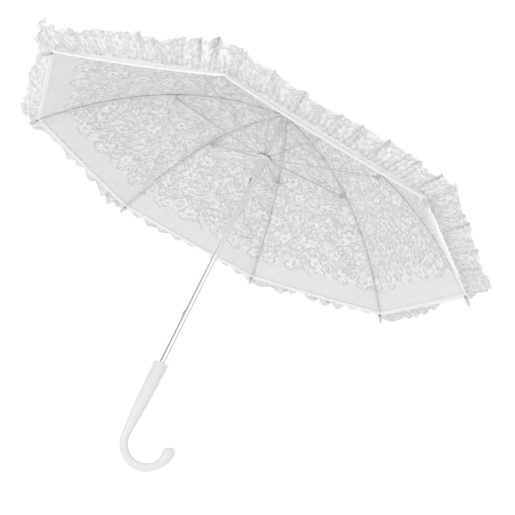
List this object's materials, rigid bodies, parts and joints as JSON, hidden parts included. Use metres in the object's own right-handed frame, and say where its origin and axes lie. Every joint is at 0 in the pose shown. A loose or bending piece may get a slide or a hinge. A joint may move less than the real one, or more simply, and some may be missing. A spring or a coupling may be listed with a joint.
{
  "type": "lace parasol",
  "caption": "Open lace parasol with a ruffled rim, a folding wire-strung rib frame, a sliding runner, a slim shaft and a crook handle.",
  "frame": {"origin": "middle of the hand grip, on the shaft's axis", "axes": "+Z along the shaft towards the canopy; +X towards the side that the crook turns to; the canopy is open at rest"},
  "size_m": [0.8246, 0.8246, 0.657],
  "materials": {
    "white_plastic": "white moulded plastic, satin gloss",
    "shaft_chrome": "plated steel tube, slightly warm",
    "rib_steel": "dark plated steel",
    "spring_steel": "tempered spring steel, bronze tint",
    "lace": "white machine lace, flowers and cord on fine net"
  },
  "bodies": {
    "shaft_and_handle": {"shaft": "shaft_chrome", "crook_handle": "white_plastic", "handle_pin": "shaft_chrome", "top_notch": "white_plastic", "notch_wire": "rib_steel", "canopy_washer": "white_plastic", "ferrule": "white_plastic"},
    "top_catch": {"top_catch": "spring_steel"},
    "bottom_catch": {"bottom_catch": "spring_steel"},
    "rib_1": {"rib_1": "rib_steel", "joint_rivet_1": "shaft_chrome", "rib_tip_1": "white_plastic", "canopy_gore_1": "lace", "ruffle_1": "lace"},
    "stretcher_1": {"stretcher_1": "rib_steel"},
    "rib_2": {"rib_2": "rib_steel", "joint_rivet_2": "shaft_chrome", "rib_tip_2": "white_plastic", "canopy_gore_2": "lace", "ruffle_2": "lace"},
    "stretcher_2": {"stretcher_2": "rib_steel"},
    "rib_3": {"rib_3": "rib_steel", "joint_rivet_3": "shaft_chrome", "rib_tip_3": "white_plastic", "canopy_gore_3": "lace", "ruffle_3": "lace"},
    "stretcher_3": {"stretcher_3": "rib_steel"},
    "rib_4": {"rib_4": "rib_steel", "joint_rivet_4": "shaft_chrome", "rib_tip_4": "white_plastic", "canopy_gore_4": "lace", "ruffle_4": "lace"},
    "stretcher_4": {"stretcher_4": "rib_steel"},
    "rib_5": {"rib_5": "rib_steel", "joint_rivet_5": "shaft_chrome", "rib_tip_5": "white_plastic", "canopy_gore_5": "lace", "ruffle_5": "lace"},
    "stretcher_5": {"stretcher_5": "rib_steel"},
    "rib_6": {"rib_6": "rib_steel", "joint_rivet_6": "shaft_chrome", "rib_tip_6": "white_plastic", "canopy_gore_6": "lace", "ruffle_6": "lace"},
    "stretcher_6": {"stretcher_6": "rib_steel"},
    "rib_7": {"rib_7": "rib_steel", "joint_rivet_7": "shaft_chrome", "rib_tip_7": "white_plastic", "canopy_gore_7": "lace", "ruffle_7": "lace"},
    "stretcher_7": {"stretcher_7": "rib_steel"},
    "rib_8": {"rib_8": "rib_steel", "joint_rivet_8": "shaft_chrome", "rib_tip_8": "white_plastic", "canopy_gore_8": "lace", "ruffle_8": "lace"},
    "stretcher_8": {"stretcher_8": "rib_steel"},
    "runner": {"runner": "white_plastic", "runner_wire": "rib_steel"}
  },
  "joints": [
    {"name": "canopy_fold", "type": "hinge", "parent": "shaft_and_handle", "child": "rib_1", "pos_m": [0.00892, -0.00122, 0.50265], "axis": [0.1357, 0.9907, 0], "range_deg": [0, 60], "deforming": ["canopy_gore_1", "ruffle_1"]},
    {"name": "rib_2_hinge", "type": "hinge", "parent": "shaft_and_handle", "child": "rib_2", "pos_m": [0.00717, 0.00544, 0.50265], "axis": [-0.6046, 0.7965, 0], "range_deg": [0, 60], "deforming": ["canopy_gore_2", "ruffle_2"]},
    {"name": "rib_3_hinge", "type": "hinge", "parent": "shaft_and_handle", "child": "rib_3", "pos_m": [0.00122, 0.00892, 0.50265], "axis": [-0.9907, 0.1357, 0], "range_deg": [0, 60], "deforming": ["canopy_gore_3", "ruffle_3"]},
    {"name": "rib_4_hinge", "type": "hinge", "parent": "shaft_and_handle", "child": "rib_4", "pos_m": [-0.00544, 0.00717, 0.50265], "axis": [-0.7965, -0.6046, 0], "range_deg": [0, 60], "deforming": ["canopy_gore_4", "ruffle_4"]},
    {"name": "rib_5_hinge", "type": "hinge", "parent": "shaft_and_handle", "child": "rib_5", "pos_m": [-0.00892, 0.00122, 0.50265], "axis": [-0.1357, -0.9907, 0], "range_deg": [0, 60], "deforming": ["canopy_gore_5", "ruffle_5"]},
    {"name": "rib_6_hinge", "type": "hinge", "parent": "shaft_and_handle", "child": "rib_6", "pos_m": [-0.00717, -0.00544, 0.50265], "axis": [0.6046, -0.7965, 0], "range_deg": [0, 60], "deforming": ["canopy_gore_6", "ruffle_6"]},
    {"name": "rib_7_hinge", "type": "hinge", "parent": "shaft_and_handle", "child": "rib_7", "pos_m": [-0.00122, -0.00892, 0.50265], "axis": [0.9907, -0.1357, 0], "range_deg": [0, 60], "deforming": ["canopy_gore_7", "ruffle_7"]},
    {"name": "rib_8_hinge", "type": "hinge", "parent": "shaft_and_handle", "child": "rib_8", "pos_m": [0.00544, -0.00717, 0.50265], "axis": [0.7965, 0.6046, 0], "range_deg": [0, 60], "deforming": ["canopy_gore_8", "ruffle_8"]},
    {"name": "stretcher_1_hinge", "type": "hinge", "parent": "rib_1", "child": "stretcher_1", "pos_m": [0.18116, -0.02482, 0.46199], "axis": [0.1357, 0.9907, 0], "range_deg": [-120, 0]},
    {"name": "stretcher_2_hinge", "type": "hinge", "parent": "rib_2", "child": "stretcher_2", "pos_m": [0.14565, 0.11055, 0.46199], "axis": [-0.6046, 0.7965, 0], "range_deg": [-120, 0]},
    {"name": "stretcher_3_hinge", "type": "hinge", "parent": "rib_3", "child": "stretcher_3", "pos_m": [0.02482, 0.18116, 0.46199], "axis": [-0.9907, 0.1357, 0], "range_deg": [-120, 0]},
    {"name": "stretcher_4_hinge", "type": "hinge", "parent": "rib_4", "child": "stretcher_4", "pos_m": [-0.11055, 0.14565, 0.46199], "axis": [-0.7965, -0.6046, 0], "range_deg": [-120, 0]},
    {"name": "stretcher_5_hinge", "type": "hinge", "parent": "rib_5", "child": "stretcher_5", "pos_m": [-0.18116, 0.02482, 0.46199], "axis": [-0.1357, -0.9907, 0], "range_deg": [-120, 0]},
    {"name": "stretcher_6_hinge", "type": "hinge", "parent": "rib_6", "child": "stretcher_6", "pos_m": [-0.14565, -0.11055, 0.46199], "axis": [0.6046, -0.7965, 0], "range_deg": [-120, 0]},
    {"name": "stretcher_7_hinge", "type": "hinge", "parent": "rib_7", "child": "stretcher_7", "pos_m": [-0.02482, -0.18116, 0.46199], "axis": [0.9907, -0.1357, 0], "range_deg": [-120, 0]},
    {"name": "stretcher_8_hinge", "type": "hinge", "parent": "rib_8", "child": "stretcher_8", "pos_m": [0.11055, -0.14565, 0.46199], "axis": [0.7965, 0.6046, 0], "range_deg": [-120, 0]},
    {"name": "runner_hinge", "type": "hinge", "parent": "stretcher_1", "child": "runner", "pos_m": [0.00892, -0.00122, 0.42132], "axis": [0.1357, 0.9907, 0], "range_deg": [0, 60]},
    {"name": "top_catch_press", "type": "slide", "parent": "shaft_and_handle", "child": "top_catch", "axis": [0.9673, 0.2538, 0], "range_m": [0, 0.0022], "stiffness_N_per_m": 600, "springref_m": -0.002},
    {"name": "bottom_catch_press", "type": "slide", "parent": "shaft_and_handle", "child": "bottom_catch", "axis": [0.9673, 0.2538, 0], "range_m": [0, 0.0022], "stiffness_N_per_m": 600, "springref_m": -0.002}
  ],
  "couplings": [
    {"joint": "rib_2_hinge", "follows": "canopy_fold", "ratio": 1},
    {"joint": "rib_3_hinge", "follows": "canopy_fold", "ratio": 1},
    {"joint": "rib_4_hinge", "follows": "canopy_fold", "ratio": 1},
    {"joint": "rib_5_hinge", "follows": "canopy_fold", "ratio": 1},
    {"joint": "rib_6_hinge", "follows": "canopy_fold", "ratio": 1},
    {"joint": "rib_7_hinge", "follows": "canopy_fold", "ratio": 1},
    {"joint": "rib_8_hinge", "follows": "canopy_fold", "ratio": 1},
    {"joint": "stretcher_1_hinge", "follows": "canopy_fold", "ratio": -2},
    {"joint": "stretcher_2_hinge", "follows": "canopy_fold", "ratio": -2},
    {"joint": "stretcher_3_hinge", "follows": "canopy_fold", "ratio": -2},
    {"joint": "stretcher_4_hinge", "follows": "canopy_fold", "ratio": -2},
    {"joint": "stretcher_5_hinge", "follows": "canopy_fold", "ratio": -2},
    {"joint": "stretcher_6_hinge", "follows": "canopy_fold", "ratio": -2},
    {"joint": "stretcher_7_hinge", "follows": "canopy_fold", "ratio": -2},
    {"joint": "stretcher_8_hinge", "follows": "canopy_fold", "ratio": -2},
    {"joint": "runner_hinge", "follows": "canopy_fold", "ratio": 1}
  ]
}
